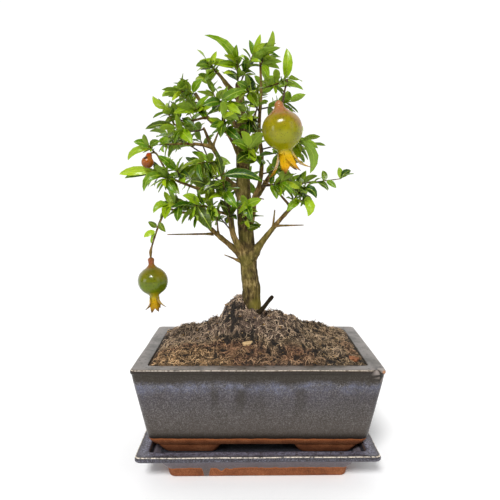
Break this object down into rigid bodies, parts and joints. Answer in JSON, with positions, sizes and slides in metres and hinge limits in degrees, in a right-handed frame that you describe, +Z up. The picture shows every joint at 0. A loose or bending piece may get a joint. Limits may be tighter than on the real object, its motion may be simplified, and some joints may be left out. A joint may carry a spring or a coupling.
{
  "type": "pomegranate bonsai tree in pot",
  "caption": "Dwarf pomegranate bonsai with hanging fruits, planted in a rectangular glazed pot with feet, on a matching saucer.",
  "frame": {"origin": "on the table, under the middle of the whole bonsai's bounding box", "axes": "+Z up, +X to the right as the front is seen, -Y to the front"},
  "size_m": [0.2714, 0.1884, 0.457],
  "materials": {
    "saucer_glaze": "gloss",
    "pot_glaze": "gloss",
    "plastic_mesh": "matte",
    "bark": "matte",
    "pale_bark_chip": "matte",
    "red_bark_chip": "matte",
    "soil": "matte",
    "fruit_skin": "satin",
    "young_fruit_skin": "satin",
    "leaf": "satin"
  },
  "bodies": {
    "root": {"saucer": "saucer_glaze", "pot": "pot_glaze", "drain_mesh_left": "plastic_mesh", "drain_mesh_right": "plastic_mesh", "tree_wood": "bark", "bark_chip_pale": "pale_bark_chip", "bark_chip_red": "red_bark_chip", "soil": "soil", "pomegranate_right": "fruit_skin", "pomegranate_left": "fruit_skin", "young_fruit": "young_fruit_skin", "top_shoot": "leaf", "top_left_shoot": "leaf", "right_tip_shoot": "leaf", "fruit_twig_shoot": "leaf", "upper_left_shoot": "leaf", "pruned_left_shoot": "leaf", "far_left_shoot": "leaf", "lime_shoot": "leaf", "left_isolated_shoot": "leaf", "bud_shoot": "leaf", "far_left_tip_shoot": "leaf", "hooked_shoot": "leaf", "left_twig_end_shoot": "leaf", "left_middle_shoot": "leaf", "centre_left_shoot": "leaf", "bright_shoot": "leaf", "front_hero_shoot": "leaf", "big_dark_shoot": "leaf", "hanging_shoot": "leaf", "fruit_branchlet_shoot": "leaf", "loop_shoot": "leaf", "centre_high_shoot": "leaf", "broad_pair_shoot": "leaf", "centre_mid_shoot": "leaf", "narrow_pair_shoot": "leaf", "broad_centre_shoot": "leaf", "right_hang_shoot": "leaf", "right_long_shoot": "leaf", "right_low_shoot": "leaf", "knob_droop_shoot": "leaf", "dark_right_shoot": "leaf", "behind_calyx_shoot": "leaf", "back_right_high": "leaf", "back_right_mid": "leaf", "back_right_low": "leaf", "back_left_low": "leaf", "back_left_mid": "leaf", "back_left_high": "leaf", "back_top": "leaf", "back_top_left": "leaf", "back_centre": "leaf", "back_deep_low": "leaf", "side_left_up": "leaf", "side_left_mid": "leaf", "side_right_up": "leaf", "side_right_mid": "leaf", "inner_left": "leaf", "inner_low_left": "leaf"}
  },
  "joints": []
}
